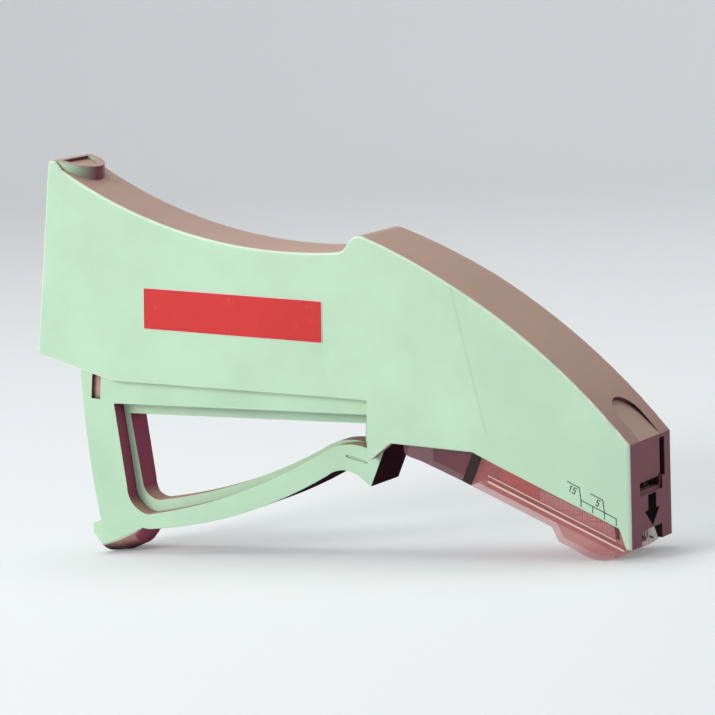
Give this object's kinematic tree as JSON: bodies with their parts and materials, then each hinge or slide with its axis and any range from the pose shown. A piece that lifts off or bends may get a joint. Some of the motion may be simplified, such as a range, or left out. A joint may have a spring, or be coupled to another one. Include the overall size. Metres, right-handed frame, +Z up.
{
  "type": "skin stapler",
  "caption": "Hand-held lever stapler for closing skin: a squeezed loop trigger drives a forming blade over a fixed anvil, fed with wire staples from a clear sloping magazine.",
  "frame": {"origin": "on the ground under the middle of the tool's bounding box, as it stands on the trigger's heel and the belly of its magazine", "axes": "+X forward from the handle's horn to the staple exit, +Y from the near shell to the far one, +Z up"},
  "size_m": [0.1482, 0.0224, 0.0912],
  "materials": {
    "casing_plastic": "satin moulded plastic, pale mint",
    "trigger_plastic": "satin moulded plastic, pale mint",
    "steel": "bright stamped steel",
    "staple_wire": "polished wire",
    "spring_wire": "drawn wire",
    "driver_plastic": "natural moulded plastic",
    "track_plastic": "dark moulded plastic",
    "collar_plastic": "dark moulded plastic",
    "clear_plastic": "clear moulded plastic, smoky",
    "pusher_plastic": "red moulded plastic"
  },
  "bodies": {
    "casing": {"casing_left": "casing_plastic", "casing_right": "casing_plastic", "pivot_pin": "steel", "return_spring": "spring_wire", "loaded_staple": "staple_wire", "staple_stack": "staple_wire", "staple_rail": "steel", "magazine_track": "track_plastic", "ejector_spring": "spring_wire", "magazine_collar": "collar_plastic", "magazine_tail": "clear_plastic", "magazine_cover": "clear_plastic", "feed_spring": "spring_wire", "feed_rod": "steel", "spring_plug": "collar_plastic"},
    "trigger": {"trigger": "trigger_plastic", "drive_pin": "steel"},
    "driver": {"driver_block": "driver_plastic", "former_blade": "steel"},
    "pusher": {"pusher": "pusher_plastic"}
  },
  "joints": [
    {"name": "trigger_pivot", "type": "hinge", "parent": "casing", "child": "trigger", "pos_m": [0.01319, 0, 0.02864], "axis": [0, 1, 0], "range_deg": [0, 11.5], "stiffness_Nm_per_rad": 0.6, "springref_deg": -14.32, "deforming": ["return_spring"]},
    {"name": "driver_slide", "type": "slide", "parent": "casing", "child": "driver", "axis": [-0.0869, 0, -0.9962], "range_m": [0, 0.01085], "deforming": ["loaded_staple"]},
    {"name": "pusher_slide", "type": "slide", "parent": "casing", "child": "pusher", "axis": [0.9004, 0, -0.435], "range_m": [-0.004, 0], "stiffness_N_per_m": 60, "springref_m": 0.03, "deforming": ["feed_spring"]}
  ],
  "couplings": [
    {"joint": "driver_slide", "follows": "trigger_pivot", "m_per_rad": 0.053958}
  ]
}
